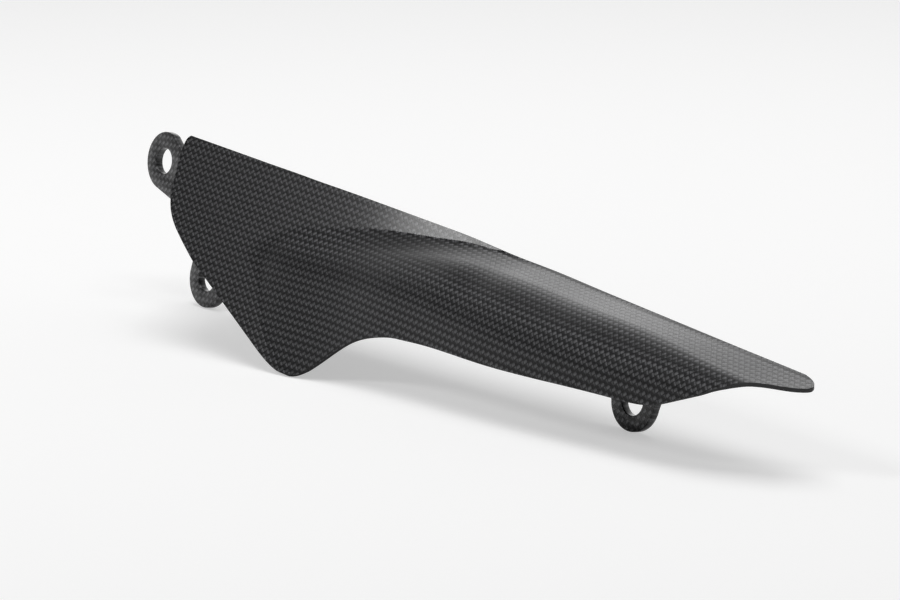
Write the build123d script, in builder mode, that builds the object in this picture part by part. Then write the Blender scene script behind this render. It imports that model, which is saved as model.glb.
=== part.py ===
"""Motorcycle chain guard: one carbon moulding, an outer skin joined to an inner mounting flange."""
import os

from build123d import *

# All sizes in mm.  X runs to the rear, -Y is the outer side, Z is up and the floor is z = 0.
skin_t = 1.3            # laminate thickness of the outer skin
flange_t = 2.9          # thickness of the inner mounting flange and its eyes
flange_y = 12.0         # where the flange's outer face meets the floor plane
flange_lean = 9.3       # the flange leans back this many degrees when the guard stands
flange_r = 6.0          # corner radius of the flange outline

front_eye_d = 21.2      # outside diameter of the two front eyes
rear_eye_d = 19.6       # outside diameter of the rear eye
hole_d = 9.4            # bush hole through each eye
upper_eye = (-163.4, 48.8)      # eye centres: X and height up the flange
lower_eye = (-129.0, 11.1)
rear_eye = (97.8, 10.3)

tip_x = 173.5           # where the pointed tail ends
foot_z = -4.0           # every section runs down to here, below the trim line

# The wing is one flat panel: its y rises by these shares of x and z from its y at the middle of the floor.
wing_y = -19.0
wing_turn = 0.270
wing_lean = 0.588
bulge_z = 36.0          # height at which the chain case bulges furthest out of the wing

# Wing stations: x, top edge z, valley z, shoulder y, crease z and valley radius.  All but the shoulder lie
# on the wing; the case swells out between the valley above it and the crease below it.
wing_stations = (
    (-135, 72.4, 43.0, -34.6, 29.0, 30),
    (-115, 69.4, 43.0, -29.2, 29.0, 30),
    (-98, 66.9, 43.0, -24.6, 29.0, 30),
    (-80, 64.2, 43.0, -19.7, 29.0, 30),
    (-64, 61.8, 42.0, -15.4, 30.0, 30),
    (-50, 59.7, 43.2, -13.3, 21.2, 16),
    (-37, 57.8, 45.4, -12.0, 7.0, 8),
)
wing_shoulder_r = 24
crease_r = 30

# Case stations: x, top edge, valley, shoulder, wall foot y, valley and shoulder radius.  The strip of wing
# above the valley runs out at the fourth one, and the top goes on alone to the tail.
case_stations = (
    (-16, (9.0, 54.5), (4.7, 47.2), (-10.0, 36.2), -26.0, 4, 22),
    (5, (13.8, 50.8), (11.4, 46.8), (-8.6, 38.4), -23.6, 3, 21),
    (18, (17.3, 48.1), (16.1, 46.2), (-7.4, 40.4), -22.4, 2, 20),
    (27, (19.6, 45.9), (19.0, 45.1), (-6.8, 41.4), -21.7, 1, 20),
    (38, (21.6, 43.8), (20.0, 43.4), (-6.6, 41.2), -21.2, 10, 19),
    (49, (22.6, 42.4), (20.8, 42.1), (-6.4, 40.8), -20.8, 14, 19),
    (70, (22.8, 39.9), (21.0, 39.6), (-5.8, 39.0), -19.6, 14, 18),
    (91, (22.2, 37.8), (20.4, 37.5), (-4.8, 37.0), -17.8, 14, 18),
    (113, (21.6, 35.6), (19.8, 35.3), (-3.6, 34.8), -15.6, 14, 18),
    (135, (21.0, 33.4), (19.2, 33.1), (-2.4, 32.6), -14.0, 14, 18),
    (158, (20.4, 31.2), (18.6, 30.9), (-1.2, 30.4), -12.2, 14, 18),
    (181, (19.8, 28.9), (18.0, 28.6), (0.0, 28.1), -10.4, 14, 18),
    (205, (19.2, 26.5), (17.4, 26.2), (1.2, 25.7), -8.6, 14, 18),
)

# Side trim: the front edge, the lobe with the arch behind it, and the lower edge up to the tail.
front_edge = ((-99.0, 69.6), (-105.4, 67.9), (-107.8, 64.2), (-104.0, 48.6), (-96.0, 38.3), (-84.2, 30.1))
lobe = ((-50.6, 10.7), (-39.1, 4.2), (-26.0, 0.5), (-15.3, 6.7), (-3.3, 15.2), (6.1, 18.1), (16.0, 19.2))
lower_edge = ((27.4, 19.3), (56.5, 18.2), (95.0, 17.8), (tip_x - 59.7, 17.5), (tip_x - 44.4, 18.3),
              (tip_x - 36.4, 20.8), (tip_x - 26.1, 25.5), (tip_x - 22.0, 26.7), (tip_x - 17.5, 27.2))
# Plan trim: the pointed tail.
tail = ((tip_x - 26.1, -2.0), (tip_x - 19.6, 2.1), (tip_x - 11.0, 5.9), (tip_x - 1.2, 11.4), (tip_x, 13.8),
        (tip_x - 1.2, 16.4), (tip_x - 7.6, 20.0), (tip_x - 17.0, 23.2))
reach = 260.0           # how far the trimming shapes run past the part

# Mounting flange: front arm, spine, rear tongue and top line, in flange X and height.
flange_front = ((-166.6, 38.6), (-145.0, 32.0), (-137.5, 24.0), (-139.4, 12.0))
flange_spine = ((-119.0, 8.6), (-95.0, 24.0), (77.0, 20.0), (88.2, 9.0))
flange_rear = ((107.4, 9.0), (113.0, 28.0), (113.0, 35.2), (35.0, 43.8), (23.0, 42.4), (-95.0, 46.5))
flange_top = ((-145.0, 47.2), (-159.0, 58.2))

# Roof web from just under the wing's top edge down to the flange.
roof_t = 1.6
roof_drop = 1.2
roof_end = 27           # it ends at this station, where the top edge has come over the flange
roof_inner = ((20.9, 46.4), (21.4, 42.8))       # its inner edge at the first station and the last

flange_plane = Plane.XZ.offset(-flange_y).rotated((-flange_lean, 0, 0))


def on_wing(x, z):
    return wing_y + wing_turn * x + wing_lean * z, z


# Every section: x, its five corners from the top edge down to the foot, and the radii of the inner three.
sections = []
for x, top_z, valley_z, shoulder_y, crease_z, valley_r in wing_stations:
    corners = (on_wing(x, top_z), on_wing(x, valley_z), (shoulder_y, bulge_z), on_wing(x, crease_z), on_wing(x, foot_z))
    sections.append((x, corners, (valley_r, wing_shoulder_r, crease_r)))
for x, top, valley, shoulder, foot_y, valley_r, shoulder_r in case_stations:
    share = (shoulder[1] - 2) / (shoulder[1] - foot_z)
    crease = (shoulder[0] + (foot_y - shoulder[0]) * share + 0.1, 2)
    sections.append((x, (top, valley, shoulder, crease, (foot_y, foot_z)), (valley_r, shoulder_r, crease_r)))

with BuildPart() as flange:
    with BuildSketch(flange_plane) as plate:
        with BuildLine():
            Polyline(*flange_front, *flange_spine, *flange_rear, *flange_top, close=True)
        make_face()
        fillet(plate.vertices().filter_by_position(Axis.Y, 18, 33), flange_r)
        with Locations(upper_eye, lower_eye):
            Circle(front_eye_d / 2)
        with Locations(rear_eye):
            Circle(rear_eye_d / 2)
        with Locations(upper_eye, lower_eye, rear_eye):
            Circle(hole_d / 2, mode=Mode.SUBTRACT)
    extrude(amount=-flange_t)

with BuildPart() as roof:
    first_x = sections[0][0]
    for x, corners, _ in sections:
        if x <= roof_end:
            share = (x - first_x) / (roof_end - first_x)
            outer = Vector(*corners[0]) + Vector(0.05, -roof_drop)
            inner = Vector(*roof_inner[0]) * (1 - share) + Vector(*roof_inner[1]) * share
            down = Vector(0, -roof_t)
            with BuildSketch(Plane.YZ.offset(x)):
                with BuildLine():
                    Polyline(outer, inner, inner + down, outer + down, close=True)
                make_face()
    loft()
    with BuildSketch(Plane.XY):
        with BuildLine():
            Polyline((-93, -28), (-93, -5), (-129, 21), (-129, 52), (29, 52), (29, -28), close=True)
        make_face()
    extrude(amount=reach, both=True, mode=Mode.INTERSECT)

with BuildPart() as chain_guard:
    for x, corners, radii in sections:
        with BuildSketch(Plane.YZ.offset(x)):
            with BuildLine():
                FilletPolyline(*corners, radius=radii)
                offset(amount=skin_t, side=Side.LEFT)
            make_face()
    loft()
    with BuildSketch(Plane.XZ):
        with BuildLine():
            front = Spline(*front_edge)
            slope = Line(front @ 1, lobe[0])
            wave = Spline(*lobe, tangents=(slope % 1, (1, 0)))
            run = Spline(wave @ 1, *lower_edge, tangents=((1, 0), (1, 0.05)))
            Polyline(run @ 1, (reach, 0), (reach, reach), (front_edge[0][0], reach), front @ 0)
        make_face()
    extrude(amount=reach, both=True, mode=Mode.INTERSECT)
    with BuildSketch(Plane.XY):
        with BuildLine():
            nose = Spline(*tail)
            Polyline(nose @ 1, (tip_x - 40, reach), (-reach, reach), (-reach, -reach), (tip_x - 32, -reach), nose @ 0)
        make_face()
    extrude(amount=reach, both=True, mode=Mode.INTERSECT)
    add(roof.part)
    add(flange.part)

os.makedirs("parts", exist_ok=True)
chain_guard.part.label = "chain_guard"
export_step(chain_guard.part, "parts/chain_guard.step")
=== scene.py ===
"""A carbon chain guard: its moulded skin, mounting flange and roof web, and a pale studio round it."""
import math

import bpy
import numpy as np
from bpy.props import FloatProperty, FloatVectorProperty, IntProperty, PointerProperty, StringProperty
from mathutils import Matrix, Vector


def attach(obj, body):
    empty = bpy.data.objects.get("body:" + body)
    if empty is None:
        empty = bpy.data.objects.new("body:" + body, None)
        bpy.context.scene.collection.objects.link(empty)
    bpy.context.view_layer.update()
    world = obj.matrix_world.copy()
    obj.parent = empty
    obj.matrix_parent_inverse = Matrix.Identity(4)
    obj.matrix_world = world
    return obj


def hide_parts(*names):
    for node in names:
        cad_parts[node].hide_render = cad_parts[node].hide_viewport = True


bl_info = {
    "name": "Carbon Chain Guard",
    "version": (1, 0, 0),
    "blender": (4, 5, 0),
    "location": "3D View > Sidebar > Chain Guard",
    "description": "Models a carbon chain guard on its packed frame and lights it",
    "category": "Object",
}

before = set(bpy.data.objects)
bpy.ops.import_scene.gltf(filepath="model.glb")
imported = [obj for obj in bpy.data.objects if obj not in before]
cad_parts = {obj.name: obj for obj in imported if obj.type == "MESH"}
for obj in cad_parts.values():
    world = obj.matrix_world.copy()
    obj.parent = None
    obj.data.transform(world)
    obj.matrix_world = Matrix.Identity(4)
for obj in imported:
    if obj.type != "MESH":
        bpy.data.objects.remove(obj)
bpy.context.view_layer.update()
NODE = "chain_guard"
MM = 0.001

# The moulding in mm.  Its wing is one flat panel: y is this much at the middle of the floor, and rises by
# these shares of x and z.
WING_Y, WING_TURN, WING_LEAN = -19.0, 0.270, 0.588
BULGE_Z = 36.0          # height at which the chain case stands furthest out of the wing
WING_SHOULDER_R = 26.0  # radius of that bulge
FOOT_Z = -4.0           # every section runs down to here, below the trim
CREASE_R = 30.0         # radius of the crease where the case runs back into the wing
WALL_CREASE_Z = 2.0     # along the case, the height to which that crease has run down
WALL_CREASE_Y = 0.02    # and how far it still bends the wall there
CLOTH_SHEAR = 0.12      # the cloth was pulled askew as it was laid: its rows drop by this share of x

# Wing stations: x, top edge z, valley z, how far the case bulges out of the wing, crease z, valley radius.
WING_STATIONS = (
    (-135, 72.4, 43.0, 0.02, 29.0, 30),
    (-98, 66.9, 43.0, 0.02, 29.0, 30),
    (-80, 64.2, 43.0, 0.02, 29.0, 30),
    (-66, 62.1, 42.0, 0.05, 30.0, 30),
    (-57, 60.8, 41.0, 0.50, 30.0, 24),
    (-50, 59.7, 43.2, 2.00, 21.2, 16),
    (-37, 57.8, 45.4, 4.20, 7.0, 8),
)
# Case stations: x, (y, z) of top edge, valley and shoulder, the wall's foot y, valley and shoulder radius.
CASE_STATIONS = (
    (-16, 9.0, 54.5, 4.7, 47.2, -10.0, 37.0, -26.0, 3, 24),
    (5, 13.8, 50.8, 11.4, 46.8, -8.8, 39.6, -23.6, 2, 22),
    (18, 17.3, 48.1, 16.1, 46.2, -7.8, 41.2, -22.4, 1.5, 22),
    (27, 19.6, 45.9, 19.0, 45.1, -7.3, 41.9, -21.7, 1, 22),
    (38, 21.6, 43.8, 20.0, 43.4, -7.0, 41.6, -21.2, 10, 23),
    (49, 22.6, 42.4, 20.8, 42.1, -6.7, 41.1, -20.8, 14, 23),
    (70, 22.8, 39.9, 21.0, 39.6, -6.0, 39.1, -19.6, 14, 22),
    (91, 22.2, 37.8, 20.4, 37.5, -5.0, 37.1, -17.8, 14, 20),
    (113, 21.6, 35.6, 19.8, 35.3, -3.6, 34.8, -15.6, 14, 18),
    (135, 21.0, 33.4, 19.2, 33.1, -2.4, 31.6, -14.0, 14, 13),
    (158, 20.4, 31.2, 18.6, 30.9, -1.8, 28.9, -12.2, 14, 10),
    (181, 19.8, 28.9, 18.0, 28.6, -1.2, 27.4, -10.4, 14, 8),
    (205, 19.2, 26.5, 17.4, 26.2, -0.6, 25.2, -8.6, 14, 8),
)

# Trim lines in mm: side view (x, z) and, for the tail, plan view (x, y).
FRONT_EDGE = ((-104.0, 68.6), (-106.3, 68.2), (-107.5, 67.4), (-107.9, 65.8), (-106.5, 57.2), (-104.0, 48.6),
              (-101.0, 43.7), (-93.0, 36.5), (-84.2, 30.1))
LOBE = ((-50.6, 10.7), (-39.1, 4.2), (-26.0, 0.75), (-15.3, 6.7), (-3.3, 15.2), (6.1, 18.1), (16.0, 19.2))
LOWER_EDGE = ((27.4, 19.3), (56.5, 18.2), (95.0, 17.8), (113.8, 17.5), (129.1, 18.3), (137.1, 20.9),
              (147.4, 24.8))
TAIL = ((147.4, -3.5), (150.0, -2.4), (152.5, -1.3), (154.9, 0.0), (157.3, 1.7), (159.7, 3.7), (162.5, 5.7),
        (173.3, 11.4), (174.8, 13.8), (173.6, 16.4), (166.6, 20.1), (156.5, 23.2))
LOWER_END = (1, 0.45)   # direction in which the lower edge arrives at the tail

# The skin's grid.
EDGE_STEPS = 1600       # steps along the guard for its edges
SLOPE_STEPS = 60        # steps down the straight edge between wing front and lobe
BLEND_STEPS = 41        # steps over which lower edge and tail are blended
BLEND_REACH = 9.0       # mm, how far from their meeting that reaches
TIP_GAP = 0.06          # mm, how short of the tip the last column stops
CLEAR_Y = -60.0         # mm, a y outside the part, where the tail's plan trims nothing
ROW_CROWD = 0.55        # how much rows crowd towards the top edge
COLUMN_CROWD = 0.10     # how much columns crowd towards the tail
HALVINGS = 48           # halvings that find a height on a section

# Mounting flange in mm, x and height up the flange: eye centres, corners between the eyes, top line, corner
# radius, and the part of each eye's rim that stands free, in degrees.
UPPER_EYE, LOWER_EYE, REAR_EYE = (-163.4, 48.8), (-129.0, 11.1), (97.8, 10.3)
FRONT_ARM = ((-145.0, 32.0), (-137.5, 24.0), (-139.4, 12.0))
SPINE = ((-95.0, 24.0), (77.0, 20.0), (88.2, 9.0))
TONGUE = ((113.0, 28.0), (113.0, 35.2))
TOP_LINE = ((113.0, 35.2), (35.0, 43.8), (23.0, 42.4), (-95.0, 46.5), (-145.0, 47.2))
FLANGE_R = 6.0
UPPER_RIM, LOWER_RIM, REAR_RIM = (64.9, 252.6), (175, 346), (187.7, 352.3)
RIM_STEPS, CORNER_STEPS, HOLE_SIDES = 48, 8, 72
DRILL_DEPTH = 0.02      # m, more than the flange is thick

# Roof web in mm: x of its front end at the wing and at the flange, x of its rear end, the x where its inner edge
# begins with that edge's (y, z) there and at the rear end, and its place under the wing's top edge.
ROOF_FRONT = (-93.0, -129.0)
ROOF_REAR = 27.0
ROOF_FROM = -135.0
ROOF_INNER = ((20.9, 46.4), (21.4, 42.8))
ROOF_BELOW = (0.05, -1.2)
ROOF_ROWS, ROOF_COLUMNS = 24, 80

MERGE = 0.00001         # m, points closer than this are one
SHARP = math.radians(50)        # edges that turn more than this are rounded
SMOOTH = math.radians(40)       # edges that turn less than this are shaded smooth

# The painted gleam, a highlight painted into the cloth's base colour, on the dimmer run of tows and on the
# brighter one: how late on its course, as a power of it, and how strongly.  Then over what span of a tow's
# roundness the painted gleam fades in from the sides.
GLEAM_DELAY = (3.7, 1.8)
GLEAM_SHARE = (0.5, 1.0)
GLEAM_SIDES = (0.05, 0.5)
CRIMP = 0.00005         # m, the rise of a tow over its neighbours

# The floor's lift: a glow that only the camera sees, so that it lights nothing.
FLOOR_SIZE = 8.0
FLOOR_GLOW = 1.62
FLOOR_LIFT = 0.27
# The studio's air: which way its pale backdrop lies, the cosines over which it comes in sideways, the heights
# over which it goes out, its strength, and a haze that thins with height.
BACKDROP = (-0.62, 0.78, 0.0)
BACKDROP_WIDE = (-0.1, 0.65)
BACKDROP_TALL = (0.3, 0.95)
BACKDROP_POWER = 0.92
HAZE_TALL = (0.1, 0.5)
HAZE_POWER = (0.36, 0.06)
# Softboxes: name, place and aim in m, side in m, power in W.
SOFTBOXES = (
    ("overhead_softbox", (0.1, 0.1, 1.6), (0.0, 0.0, 0.0), 1.2, 17.0),
    ("left_softbox", (-0.304, -0.917, 0.945), (0.0, 0.0, 0.03), 0.34, 3.0),
)
SENSOR = 36.0           # mm


def wing(x, z):
    """A point (y, z) of the wing's panel."""
    return WING_Y + WING_TURN * x + WING_LEAN * z, z


def stations():
    """One row per section: x, (y, z) of top edge, valley, shoulder and crease, the foot's y, three radii."""
    rows = []
    for x, top, valley, bulge, crease, r in WING_STATIONS:
        shoulder = wing(x, BULGE_Z)[0] - bulge, BULGE_Z
        points = *wing(x, top), *wing(x, valley), *shoulder, *wing(x, crease)
        rows.append((x, *points, wing(x, FOOT_Z)[0], r, WING_SHOULDER_R, CREASE_R))
    for x, *points, foot, r, shoulder_r in CASE_STATIONS:
        y, z = points[4:]
        crease = y + (foot - y) * (z - WALL_CREASE_Z) / (z - FOOT_Z) + WALL_CREASE_Y, WALL_CREASE_Z
        rows.append((x, *points, *crease, foot, r, shoulder_r, CREASE_R))
    return np.array(rows)


class GuardSizes(bpy.types.PropertyGroup):
    """Sizes of the moulding, in millimetres."""

    skin: FloatProperty(name="Skin", description="Laminate thickness of the skin, mm", default=1.3, min=0.5)
    plate: FloatProperty(name="Flange", description="Thickness of the flange, mm", default=2.9, min=1.0)
    web: FloatProperty(name="Roof web", description="Thickness of the roof web, mm", default=1.6, min=0.5)
    rim: FloatProperty(name="Skin edges", description="Rounding of the skin's edges, mm", default=0.4, min=0.0)
    plate_rim: FloatProperty(name="Flange edges", description="Rounding of the flange's edges, mm",
                             default=0.35, min=0.0)
    lean: FloatProperty(name="Flange lean", description="How far the flange leans back",
                        default=math.radians(9.3), subtype="ANGLE")
    flange_y: FloatProperty(name="Flange foot", description="Y of the flange's outer face at the floor, mm",
                            default=12.0)
    front_eye: FloatProperty(name="Front eyes", description="Outside diameter of the front eyes, mm", default=21.2)
    rear_eye: FloatProperty(name="Rear eye", description="Outside diameter of the rear eye, mm", default=19.6)
    hole: FloatProperty(name="Holes", description="Diameter of the bush holes, mm", default=9.4)
    rows: IntProperty(name="Rows", description="Faces from the top edge to the lower edge", default=120, min=20)
    columns: IntProperty(name="Columns", description="Faces along the guard", default=300, min=40)


class GuardFinish(bpy.types.PropertyGroup):
    """Cloth and coat of the moulding."""

    tow: FloatProperty(name="Tow width", description="Width of one tow of the plain weave, mm",
                       default=1.667, min=0.2)
    # The colour painted where a tow gleams: a painted highlight in the base colour.
    tow_painted_gleam: StringProperty(name="Tow, light", description="Carbon where a tow gleams", default="#676769")
    resin: StringProperty(name="Resin", description="Cloth and resin between the gleams", default="#1d1d1e")
    # Dark cut edge of the laminate; on the rounded edges this colour also paints a dark line of shade.
    edge: StringProperty(name="Cut edge", description="Sanded edge of the laminate", default="#161617")


class GuardStudio(bpy.types.PropertyGroup):
    """Camera and floor of the studio."""

    floor: StringProperty(name="Floor", description="Colour of the studio floor", default="#f4f4f4")
    bearing: FloatProperty(name="Bearing", description="Camera bearing round the guard",
                           default=math.radians(50.671), subtype="ANGLE")
    height: FloatProperty(name="Elevation", description="Camera elevation",
                          default=math.radians(12.559), subtype="ANGLE")
    distance: FloatProperty(name="Distance", description="Camera to target", default=1.144429, unit="LENGTH")
    target: FloatVectorProperty(name="Target", description="Point in the middle of the picture",
                                default=(0.010805, 0.012, 0.027261), subtype="XYZ")
    lens: FloatProperty(name="Lens", description="Focal length, mm", default=140.0)


def linear(code):
    """sRGB hex to a linear RGBA colour."""
    value = code.lstrip("#")
    shades = [int(value[i:i + 2], 16) / 255 for i in (0, 2, 4)]
    return [c / 12.92 if c <= 0.04045 else ((c + 0.055) / 1.055) ** 2.4 for c in shades] + [1.0]


def node(tree, kind, links=None, **settings):
    """Adds a node: settings go to its properties, links to its inputs, each a value or another node's output."""
    new = tree.nodes.new(kind)
    for name, value in settings.items():
        setattr(new, name, value)
    for key, value in (links or {}).items():
        if isinstance(value, bpy.types.NodeSocket):
            tree.links.new(value, new.inputs[key])
        else:
            new.inputs[key].default_value = value
    return new


def calc(tree, operation, *values):
    """Adds a maths node and gives its output."""
    return node(tree, "ShaderNodeMath", dict(enumerate(values)), operation=operation).outputs[0]


def ease(tree, value, span, ends=(0.0, 1.0)):
    """Adds a smooth step from one end to the other as the value goes over the span, and gives its output."""
    return node(tree, "ShaderNodeMapRange", {
        "Value": value, "From Min": span[0], "From Max": span[1], "To Min": ends[0], "To Max": ends[1],
    }, interpolation_type="SMOOTHSTEP").outputs[0]


def blank(name):
    """A new material with an empty node tree."""
    material = bpy.data.materials.new(name)
    material.use_nodes = True
    material.node_tree.nodes.clear()
    return material


def spline(points, start=None, end=None, count=400):
    """Points of a smooth curve through the given ones, which leaves and arrives in the given directions."""
    pts = np.asarray(points, float)
    knots = np.concatenate(([0.0], np.cumsum(np.linalg.norm(np.diff(pts, axis=0), axis=1))))
    return cubic(knots, pts, start, end)(np.linspace(0, knots[-1], count))


def cubic(knots, values, start=None, end=None):
    """A cubic spline through values at knots, natural at an end with no given slope."""
    h = np.diff(knots)
    n = len(knots)
    system = np.zeros((n, n))
    right = np.zeros((n,) + values.shape[1:])
    rise = np.diff(values, axis=0) / h.reshape((-1,) + (1,) * (values.ndim - 1))
    for i in range(1, n - 1):
        system[i, i - 1:i + 2] = h[i - 1], 2 * (h[i - 1] + h[i]), h[i]
        right[i] = 6 * (rise[i] - rise[i - 1])
    for row, slope, sign in ((0, start, 1), (n - 1, end, -1)):
        system[row, row] = 1.0
        if slope is not None:
            step = h[row - (sign < 0)]
            slope = np.asarray(slope, float) / np.linalg.norm(slope)
            system[row, row], system[row, row + sign] = 2 * step, step
            right[row] = 6 * sign * (rise[row - (sign < 0)] - slope)
    bend = np.linalg.solve(system, right)

    def at(t):
        t = np.asarray(t, float)
        i = np.clip(np.searchsorted(knots, t) - 1, 0, n - 2)
        shape = t.shape + (1,) * (values.ndim - 1)
        step = h[i].reshape(shape)
        a = (knots[i + 1] - t).reshape(shape)
        b = (t - knots[i]).reshape(shape)
        curve = (bend[i] * a ** 3 + bend[i + 1] * b ** 3) / (6 * step)
        before = (values[i] / step - bend[i] * step / 6) * a
        after = (values[i + 1] / step - bend[i + 1] * step / 6) * b
        return curve + before + after

    return at


def unit(v):
    """Vectors at length one."""
    return v / np.maximum(np.linalg.norm(v, axis=-1, keepdims=True), 1e-9)


class Section:
    """The moulding's section at each x of an array: straight runs, with arcs in valley, shoulder and crease."""

    rows = stations()
    along = staticmethod(cubic(rows[:, 0], rows[:, 1:]))

    def __init__(self, x):
        row = self.along(x)
        corners = [row[..., i:i + 2] for i in (0, 2, 4, 6)]
        corners.append(np.stack((row[..., 8], np.full(row.shape[:-1], FOOT_Z)), axis=-1))
        self.lines = []
        self.arcs = []
        start = corners[0]
        for i in (1, 2, 3):
            corner, after, r = corners[i], corners[i + 1], row[..., 8 + i]
            back, ahead = unit(start - corner), unit(after - corner)
            half = np.arccos(np.clip((back * ahead).sum(-1), -1, 1)) / 2
            cut = (r / np.tan(half))[..., None]
            first = corner + back * cut
            middle = corner + unit(back + ahead) * (r / np.sin(half))[..., None]
            self.lines.append((start, first))
            self.arcs.append((first, -back, unit(middle - first), r, math.pi - 2 * half))
            start = corner + ahead * cut
        self.lines.append((start, corners[4]))

    def length(self):
        """Arc length from the top edge to the foot."""
        spans = [np.linalg.norm(b - a, axis=-1) for a, b in self.lines]
        return sum(spans) + sum(arc[3] * arc[4] for arc in self.arcs)

    def at(self, run):
        """(y, z) at an arc length from the top edge."""
        left = np.asarray(run, float)
        out = np.zeros(left.shape + (2,))
        for i, (a, b) in enumerate(self.lines):
            span = np.linalg.norm(b - a, axis=-1)
            here = left >= 0
            out[here] = (a + unit(b - a) * left[..., None])[here]
            left = left - span
            if i < len(self.arcs):
                first, heading, inward, r, angle = self.arcs[i]
                turn = (left / r)[..., None]
                here = left >= 0
                swing = np.sin(turn) * heading + (1 - np.cos(turn)) * inward
                out[here] = (first + r[..., None] * swing)[here]
                left = left - r * angle
        return out

    def run_to(self, axis, value):
        """Arc length at which y (axis 0) or z (axis 1) has come down to a value."""
        low = np.zeros_like(np.asarray(value, float))
        high = self.length()
        for _ in range(HALVINGS):
            mid = (low + high) / 2
            above = self.at(mid)[..., axis] > value
            low, high = np.where(above, mid, low), np.where(above, high, mid)
        return (low + high) / 2


def trims():
    """The front boundary and the lower edge in side view (x, z), the tail's near and far edge in plan (x, y)."""
    front = spline(FRONT_EDGE)
    slope = np.subtract(LOBE[0], FRONT_EDGE[-1])
    wave = spline(LOBE, start=slope, end=(1, 0))
    run = spline((LOBE[-1],) + LOWER_EDGE, start=(1, 0), end=LOWER_END)
    tail = spline(TAIL)
    lowest = np.argmin(wave[:, 1])
    straight = np.linspace(front[-1], wave[0], SLOPE_STEPS)[1:]
    front = np.concatenate((front, straight, wave[1:lowest + 1]))
    side = np.concatenate((wave[lowest:], run[1:]))
    tip = np.argmax(tail[:, 0])
    near, far = tail[:tip + 1], tail[tip:][::-1]
    return front, side, near, far


def skin_grid(rows, columns):
    """Points (mm) and cloth coordinates (mm) of the skin's outer face, rows from the top edge down."""
    front, side, near, far = trims()
    end = near[-1, 0] - TIP_GAP

    # The lower edge as an arc length for every x, level with the lobe's foot ahead of it.
    xs = np.linspace(front[:, 0].min() - 1, end, EDGE_STEPS)
    section = Section(xs)
    low_z = np.interp(xs, side[:, 0], side[:, 1])
    by_side = section.run_to(1, low_z)
    by_plan = section.run_to(0, np.interp(xs, near[:, 0], near[:, 1], left=CLEAR_Y))
    bottom = np.where(xs < near[0, 0], by_side, by_plan)
    blend = np.hanning(BLEND_STEPS) / np.hanning(BLEND_STEPS).sum()
    soft = np.convolve(np.pad(bottom, BLEND_STEPS // 2, mode="edge"), blend, mode="valid")
    window = np.clip(1 - np.abs(xs - near[0, 0]) / BLEND_REACH, 0, 1)
    bottom = bottom + (soft - bottom) * np.minimum(1, 2 * window)
    top = np.where(xs > far[0, 0], section.run_to(0, np.interp(xs, far[:, 0], far[:, 1])), 0.0)

    # Each row starts where it meets the front boundary.
    depth = Section(front[:, 0]).run_to(1, front[:, 1]) / np.interp(front[:, 0], xs, bottom)
    inside = front[:, 1] < Section(front[:, 0]).at(np.zeros(len(front)))[:, 1]
    share = np.concatenate(([0.0], np.maximum.accumulate(depth[inside]), [1.0]))
    starts = np.concatenate(([front[inside][0, 0]], front[inside][:, 0], [front[-1, 0]]))
    t = np.linspace(0, 1, rows + 1)
    t = (1 - ROW_CROWD) * t + ROW_CROWD * t * t
    begin = np.interp(t, share, starts)

    s = np.linspace(0, 1, columns + 1)
    s = s + COLUMN_CROWD * np.sin(math.pi * s)
    x = begin[:, None] + (end - begin[:, None]) * s[None, :]
    upper, lower = np.interp(x, xs, top), np.interp(x, xs, bottom)
    run = upper + t[:, None] * (lower - upper)
    section = Section(x)
    yz = section.at(run)
    points = np.concatenate((x[..., None], yz), axis=-1)
    cloth = np.stack((x, section.length() - run + CLOTH_SHEAR * x), axis=-1)
    return points, cloth


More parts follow.
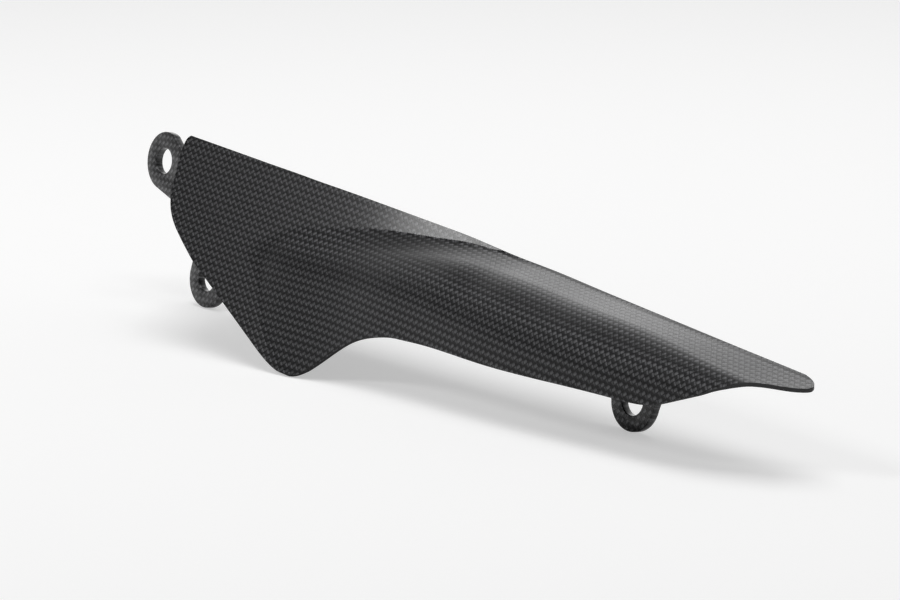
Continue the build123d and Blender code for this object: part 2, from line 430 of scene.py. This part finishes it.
def carbon(context):
    """Plain-weave carbon cloth under a satin clear coat: each tow's fibres gleam across their own run, in the
    anisotropic shader and in a highlight painted into the base colour.
    """
    finish = context.scene.guard_finish
    name = "carbon_cloth_satin_lacquer"
    if name in bpy.data.materials:
        return bpy.data.materials[name]
    material = blank(name)
    tree = material.node_tree
    cloth = node(tree, "ShaderNodeUVMap", uv_map="cloth").outputs["UV"]
    # Cloth coordinates turned 45 degrees and counted in tow widths.
    turned = node(tree, "ShaderNodeMapping", {"Vector": cloth, "Rotation": (0, 0, math.radians(45)),
                                              "Scale": (1 / finish.tow / MM,) * 2 + (1,)}, vector_type="POINT")
    axes = node(tree, "ShaderNodeSeparateXYZ", {"Vector": turned.outputs[0]})
    p, q = axes.outputs["X"], axes.outputs["Y"]
    fp, fq = calc(tree, "FRACT", p), calc(tree, "FRACT", q)
    # Which of the two runs of tows lies on top here, and the place across that tow and along its course.
    both = calc(tree, "ADD", calc(tree, "FLOOR", p), calc(tree, "FLOOR", q))
    over = calc(tree, "FLOORED_MODULO", both, 2.0)
    side = node(tree, "ShaderNodeMix", {"Factor": over, "A": fp, "B": fq}).outputs[0]
    course = node(tree, "ShaderNodeMix", {"Factor": over, "A": fq, "B": fp}).outputs[0]
    # Across, a tow is round; along its course it rises over its neighbours and dives under them.
    across = calc(tree, "SINE", calc(tree, "MULTIPLY", side, math.pi))
    along = calc(tree, "SINE", calc(tree, "MULTIPLY", course, math.pi))
    height = calc(tree, "MULTIPLY", across, along)
    # The gleam is a highlight painted into the base colour: a bar across the whole tow, past the middle of its
    # course, and on one run it is dimmer and further past than on the other, so the bars of both runs join up in a
    # zigzag.
    delay = calc(tree, "MULTIPLY_ADD", over, GLEAM_DELAY[1] - GLEAM_DELAY[0], GLEAM_DELAY[0])
    past = calc(tree, "SINE", calc(tree, "MULTIPLY", calc(tree, "POWER", course, delay), math.pi))
    bar = ease(tree, across, GLEAM_SIDES)
    gleam = ease(tree, calc(tree, "MULTIPLY", bar, past), (0.0, 1.0))
    share = calc(tree, "MULTIPLY_ADD", over, GLEAM_SHARE[1] - GLEAM_SHARE[0], GLEAM_SHARE[0])
    # The ramp paints the gleam into the base colour, from the dark cloth to the painted highlight.
    ramp = node(tree, "ShaderNodeValToRGB", {"Fac": calc(tree, "MULTIPLY", gleam, share)})
    ramp.color_ramp.elements[0].color = linear(finish.resin)
    ramp.color_ramp.elements[1].color = linear(finish.tow_painted_gleam)
    # The fibres of one run lie an eighth of a turn from the cloth's length, those of the other three eighths.
    turn = calc(tree, "MULTIPLY_ADD", over, 1 / 4, 1 / 8)
    tangent = node(tree, "ShaderNodeTangent", direction_type="UV_MAP", uv_map="cloth").outputs[0]
    bump = node(tree, "ShaderNodeBump", {"Height": height, "Distance": CRIMP, "Strength": 1.0})
    shader = node(tree, "ShaderNodeBsdfPrincipled", {
        "Base Color": ramp.outputs[0], "Metallic": 1.0, "Roughness": 0.5, "Anisotropic": 0.9,
        "Anisotropic Rotation": turn, "Tangent": tangent, "Normal": bump.outputs[0],
        "Coat Weight": 1.0, "Coat Roughness": 0.2, "Coat IOR": 1.5, "IOR": 1.5})
    node(tree, "ShaderNodeOutputMaterial", {"Surface": shader.outputs[0]})
    return material


def cut_edge_and_shade(context):
    """Sanded edge of the laminate: bare black plies with no cloth to gleam, so it draws a dark line; on the
    rounded bevels that dark colour also paints the line of shade along the edges.
    """
    name = "cut_carbon_edge_and_shade"
    if name in bpy.data.materials:
        return bpy.data.materials[name]
    material = blank(name)
    tree = material.node_tree
    shader = node(tree, "ShaderNodeBsdfPrincipled", {
        "Base Color": linear(context.scene.guard_finish.edge), "Roughness": 0.55, "IOR": 1.5})
    node(tree, "ShaderNodeOutputMaterial", {"Surface": shader.outputs[0]})
    return material


def dress(obj, context):
    """Gives a piece its carbon and, as the second material, its cut edge, which on rounded edges also paints
    shade.
    """
    obj.data.materials.append(carbon(context))
    obj.data.materials.append(cut_edge_and_shade(context))


def finish_piece(obj, name):
    """Names a piece and sets it on the frame."""
    obj.name = name
    obj.data.name = name
    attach(obj, "root")
    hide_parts(NODE)


def set_cloth(obj, cloth):
    """Writes the cloth coordinates, one pair per vertex in mm, to the piece's UV map in metres."""
    layer = obj.data.uv_layers.get("cloth") or obj.data.uv_layers.new(name="cloth")
    index = np.empty(len(obj.data.loops), int)
    obj.data.loops.foreach_get("vertex_index", index)
    layer.data.foreach_set("uv", (cloth[index] * MM).ravel())
    for other in [u for u in obj.data.uv_layers if u.name != "cloth"]:
        obj.data.uv_layers.remove(other)


def lay(context, points, cloth):
    """Adds a grid and lays it on the points of a surface, rows by columns, with its cloth coordinates."""
    rows, columns = points.shape[0] - 1, points.shape[1] - 1
    bpy.ops.mesh.primitive_grid_add(x_subdivisions=columns, y_subdivisions=rows, size=2)
    obj = context.object
    mesh = obj.data
    flat = np.empty(len(mesh.vertices) * 3)
    mesh.vertices.foreach_get("co", flat)
    flat = flat.reshape(-1, 3)
    column = np.rint((flat[:, 0] + 1) / 2 * columns).astype(int)
    row = np.rint((1 - flat[:, 1]) / 2 * rows).astype(int)
    mesh.vertices.foreach_set("co", (points[row, column] * MM).ravel())
    mesh.update()
    set_cloth(obj, cloth[row, column])
    return obj


def apply(obj, kind, **settings):
    """Adds a modifier and applies it."""
    modifier = obj.modifiers.new(kind.lower(), kind)
    for name, value in settings.items():
        setattr(modifier, name, value)
    bpy.ops.object.modifier_apply(modifier=modifier.name)


def thicken(obj, thickness):
    """Gives a sheet its thickness in mm behind its face, with the cut edge as the material of its rim."""
    apply(obj, "SOLIDIFY", thickness=thickness * MM, offset=-1.0, use_even_offset=True, material_offset_rim=1)


class GUARD_OT_skin(bpy.types.Operator):
    """Lays the outer skin on its sections, gives it its laminate thickness and rounds the trimmed edges"""

    bl_idname = "guard.skin"
    bl_label = "Outer Skin"

    def execute(self, context):
        sizes = context.scene.guard_sizes
        bpy.ops.object.select_all(action="DESELECT")
        points, cloth = skin_grid(sizes.rows, sizes.columns)
        obj = lay(context, points, cloth)
        bpy.ops.object.mode_set(mode="EDIT")
        bpy.ops.mesh.select_all(action="SELECT")
        bpy.ops.mesh.remove_doubles(threshold=MERGE)
        bpy.ops.object.mode_set(mode="OBJECT")
        dress(obj, context)
        thicken(obj, sizes.skin)
        # The rounded edges take the dark cut-edge material, which paints a dark line of shade along them.
        apply(obj, "BEVEL", width=sizes.rim * MM, segments=3, material=1, limit_method="ANGLE", angle_limit=SHARP)
        bpy.ops.object.shade_smooth_by_angle(angle=SMOOTH)
        finish_piece(obj, "outer_skin")
        return {"FINISHED"}


class GUARD_OT_flange(bpy.types.Operator):
    """Cuts the mounting flange to its outline, with three bored eyes, and leans it back"""

    bl_idname = "guard.flange"
    bl_label = "Mounting Flange"

    def execute(self, context):
        sizes = context.scene.guard_sizes
        bpy.ops.object.select_all(action="DESELECT")
        outline = flange_outline(sizes)
        bpy.ops.mesh.primitive_circle_add(vertices=len(outline), radius=1, fill_type="NGON")
        obj = context.object
        ring = np.empty(len(obj.data.vertices) * 3)
        obj.data.vertices.foreach_get("co", ring)
        ring = ring.reshape(-1, 3)
        order = np.argsort(np.argsort(np.arctan2(ring[:, 1], ring[:, 0])))
        place = np.zeros((len(outline), 3))
        place[:, 0], place[:, 1] = outline[:, 0], outline[:, 1]
        obj.data.vertices.foreach_set("co", (place[order] * MM).ravel())
        obj.data.update()
        dress(obj, context)
        bpy.ops.object.mode_set(mode="EDIT")
        bpy.ops.mesh.select_all(action="SELECT")
        bpy.ops.mesh.normals_make_consistent(inside=False)
        bpy.ops.mesh.extrude_region_move(TRANSFORM_OT_translate={"value": (0, 0, -sizes.plate * MM)})
        bpy.ops.mesh.select_all(action="SELECT")
        bpy.ops.mesh.normals_make_consistent(inside=False)
        bpy.ops.object.mode_set(mode="OBJECT")
        for x, up, _ in eyes(sizes):
            bpy.ops.mesh.primitive_cylinder_add(vertices=HOLE_SIDES, radius=sizes.hole / 2 * MM, depth=DRILL_DEPTH,
                                                location=(x * MM, up * MM, 0))
            drill = context.object
            bpy.ops.object.select_all(action="DESELECT")
            obj.select_set(True)
            context.view_layer.objects.active = obj
            apply(obj, "BOOLEAN", operation="DIFFERENCE", object=drill, solver="EXACT")
            bpy.data.objects.remove(drill)
        apply(obj, "BEVEL", width=sizes.plate_rim * MM, segments=3, limit_method="ANGLE", angle_limit=SHARP)
        bpy.ops.object.shade_smooth_by_angle(angle=SMOOTH)
        co = np.empty(len(obj.data.vertices) * 3)
        obj.data.vertices.foreach_get("co", co)
        set_cloth(obj, co.reshape(-1, 3)[:, :2] / MM)
        lean = Matrix.Rotation(math.pi / 2 - sizes.lean, 4, "X")
        obj.data.transform(Matrix.Translation((0, sizes.flange_y * MM, 0)) @ lean)
        finish_piece(obj, "mount_flange")
        return {"FINISHED"}


def eyes(sizes):
    """Centre x, height up the flange and outside diameter of each eye, mm."""
    return (*UPPER_EYE, sizes.front_eye), (*LOWER_EYE, sizes.front_eye), (*REAR_EYE, sizes.rear_eye)


def flange_outline(sizes):
    """The flange's outline, anticlockwise, in mm: straight runs with rounded corners between the eyes."""
    upper, lower, rear = eyes(sizes)

    def bow(eye, start, end):
        turn = np.radians(np.linspace(start, end, RIM_STEPS))
        return [(eye[0] + eye[2] / 2 * math.cos(a), eye[1] + eye[2] / 2 * math.sin(a)) for a in turn]

    def corner(before, point, after):
        before, point, after = (np.array(v, float) for v in (before, point, after))
        back, ahead = unit(before - point), unit(after - point)
        half = math.acos(np.clip(back @ ahead, -1, 1)) / 2
        first = point + back * FLANGE_R / math.tan(half)
        middle = point + unit(back + ahead) * FLANGE_R / math.sin(half)
        inward = unit(middle - first)
        return [tuple(first + FLANGE_R * (math.sin(a) * -back + (1 - math.cos(a)) * inward))
                for a in np.linspace(0, math.pi - 2 * half, CORNER_STEPS)]

    path = bow(upper, *UPPER_RIM)
    path += corner(path[-1], *FRONT_ARM[:2]) + corner(*FRONT_ARM)
    path += bow(lower, *LOWER_RIM)
    path += corner(path[-1], *SPINE[:2]) + corner(*SPINE)
    path += bow(rear, *REAR_RIM)
    path += corner(path[-1], *TONGUE)
    return np.array(path + list(TOP_LINE))


class GUARD_OT_roof(bpy.types.Operator):
    """Spans the roof web from under the wing's top edge to the flange"""

    bl_idname = "guard.roof"
    bl_label = "Roof Web"

    def execute(self, context):
        sizes = context.scene.guard_sizes
        bpy.ops.object.select_all(action="DESELECT")
        across = np.linspace(0, 1, ROOF_ROWS + 1)[:, None]
        along = np.linspace(0, 1, ROOF_COLUMNS + 1)[None, :]
        front = ROOF_FRONT[0] + (ROOF_FRONT[1] - ROOF_FRONT[0]) * across
        x = front + (ROOF_REAR - front) * along
        outer = Section(x).at(np.zeros_like(x)) + ROOF_BELOW
        share = ((x - ROOF_FROM) / (ROOF_REAR - ROOF_FROM))[..., None]
        inner = np.array(ROOF_INNER[0]) * (1 - share) + np.array(ROOF_INNER[1]) * share
        yz = outer + (inner - outer) * across[..., None]
        points = np.concatenate((x[..., None], yz), axis=-1)
        obj = lay(context, points, np.stack((x, yz[..., 0]), axis=-1))
        dress(obj, context)
        bpy.ops.object.mode_set(mode="EDIT")
        bpy.ops.mesh.select_all(action="SELECT")
        bpy.ops.mesh.flip_normals()
        bpy.ops.object.mode_set(mode="OBJECT")
        thicken(obj, sizes.web)
        bpy.ops.object.shade_smooth_by_angle(angle=SMOOTH)
        finish_piece(obj, "roof_web")
        return {"FINISHED"}


class GUARD_OT_stage(bpy.types.Operator):
    """Sets the pale floor, the soft lights and the camera"""

    bl_idname = "guard.stage"
    bl_label = "Studio"

    def execute(self, context):
        studio = context.scene.guard_studio
        scene = context.scene
        scene.view_settings.view_transform = "Standard"
        bpy.ops.object.select_all(action="DESELECT")
        bpy.ops.mesh.primitive_plane_add(size=FLOOR_SIZE)
        floor = context.object
        floor.name = "studio_floor"
        # Matt paper: it takes soft shadows and shows no reflection.
        paper = blank("matt_white_paper")
        tree = paper.node_tree
        diffuse = node(tree, "ShaderNodeBsdfDiffuse", {"Color": linear(studio.floor), "Roughness": 0.9})
        glow = node(tree, "ShaderNodeEmission", {"Color": (1, 1, 1, 1), "Strength": FLOOR_GLOW})
        rays = node(tree, "ShaderNodeLightPath")
        lift = calc(tree, "MULTIPLY", rays.outputs["Is Camera Ray"], FLOOR_LIFT)
        surface = node(tree, "ShaderNodeMixShader", {0: lift, 1: diffuse.outputs[0], 2: glow.outputs[0]})
        node(tree, "ShaderNodeOutputMaterial", {"Surface": surface.outputs[0]})
        floor.data.materials.append(paper)

        # Studio air: dim to the front, pale towards a backdrop behind and to the left.
        world = bpy.data.worlds.new("studio_air")
        scene.world = world
        world.use_nodes = True
        tree = world.node_tree
        tree.nodes.clear()
        way = node(tree, "ShaderNodeTexCoord").outputs["Generated"]
        behind = node(tree, "ShaderNodeVectorMath", {0: way, 1: BACKDROP}, operation="DOT_PRODUCT")
        level = node(tree, "ShaderNodeSeparateXYZ", {"Vector": way}).outputs["Z"]
        wide = ease(tree, behind.outputs["Value"], BACKDROP_WIDE)
        tall = ease(tree, level, BACKDROP_TALL, (1.0, 0.0))
        haze = ease(tree, level, HAZE_TALL, HAZE_POWER)
        strength = calc(tree, "MULTIPLY_ADD", calc(tree, "MULTIPLY", wide, tall), BACKDROP_POWER, haze)
        sky = node(tree, "ShaderNodeBackground", {"Color": (1, 1, 1, 1), "Strength": strength})
        node(tree, "ShaderNodeOutputWorld", {"Surface": sky.outputs[0]})

        for softbox in SOFTBOXES:
            self.softbox(context, *softbox)

        bearing, height = studio.bearing, studio.height
        ahead = Vector((-math.sin(bearing), math.cos(bearing), 0)) * math.cos(height)
        look = ahead + Vector((0, 0, -math.sin(height)))
        data = bpy.data.cameras.new("studio_camera")
        data.lens = studio.lens
        data.sensor_width = SENSOR
        camera = bpy.data.objects.new("studio_camera", data)
        scene.collection.objects.link(camera)
        camera.location = Vector(studio.target) - look * studio.distance
        camera.rotation_euler = look.to_track_quat("-Z", "Y").to_euler()
        scene.camera = camera
        return {"FINISHED"}

    @staticmethod
    def softbox(context, name, place, aim, side, power):
        """Adds a square area light and turns it to its aim."""
        data = bpy.data.lights.new(name, "AREA")
        data.shape = "SQUARE"
        data.size = side
        data.energy = power
        lamp = bpy.data.objects.new(name, data)
        context.scene.collection.objects.link(lamp)
        lamp.location = place
        lamp.rotation_euler = (Vector(aim) - Vector(place)).to_track_quat("-Z", "Y").to_euler()


class GUARD_PT_panel(bpy.types.Panel):
    """Lists the chain guard's pieces, sizes and finish"""

    bl_idname = "GUARD_PT_panel"
    bl_label = "Chain Guard"
    bl_space_type = "VIEW_3D"
    bl_region_type = "UI"
    bl_category = "Chain Guard"

    def draw(self, context):
        for group in (context.scene.guard_sizes, context.scene.guard_finish, context.scene.guard_studio):
            column = self.layout.column(align=True)
            for name in group.__annotations__:
                column.prop(group, name)
        for operator in OPERATORS:
            self.layout.operator(operator.bl_idname)


GROUPS = {"guard_sizes": GuardSizes, "guard_finish": GuardFinish, "guard_studio": GuardStudio}
OPERATORS = (GUARD_OT_skin, GUARD_OT_flange, GUARD_OT_roof, GUARD_OT_stage)
CLASSES = tuple(GROUPS.values()) + OPERATORS + (GUARD_PT_panel,)


def register():
    for cls in CLASSES:
        bpy.utils.register_class(cls)
    for name, group in GROUPS.items():
        setattr(bpy.types.Scene, name, PointerProperty(type=group))


def unregister():
    for name in GROUPS:
        delattr(bpy.types.Scene, name)
    for cls in reversed(CLASSES):
        bpy.utils.unregister_class(cls)


def main():
    register()
    bpy.ops.guard.skin()
    bpy.ops.guard.flange()
    bpy.ops.guard.roof()
    bpy.ops.guard.stage()


if __name__ == "__main__":
    main()
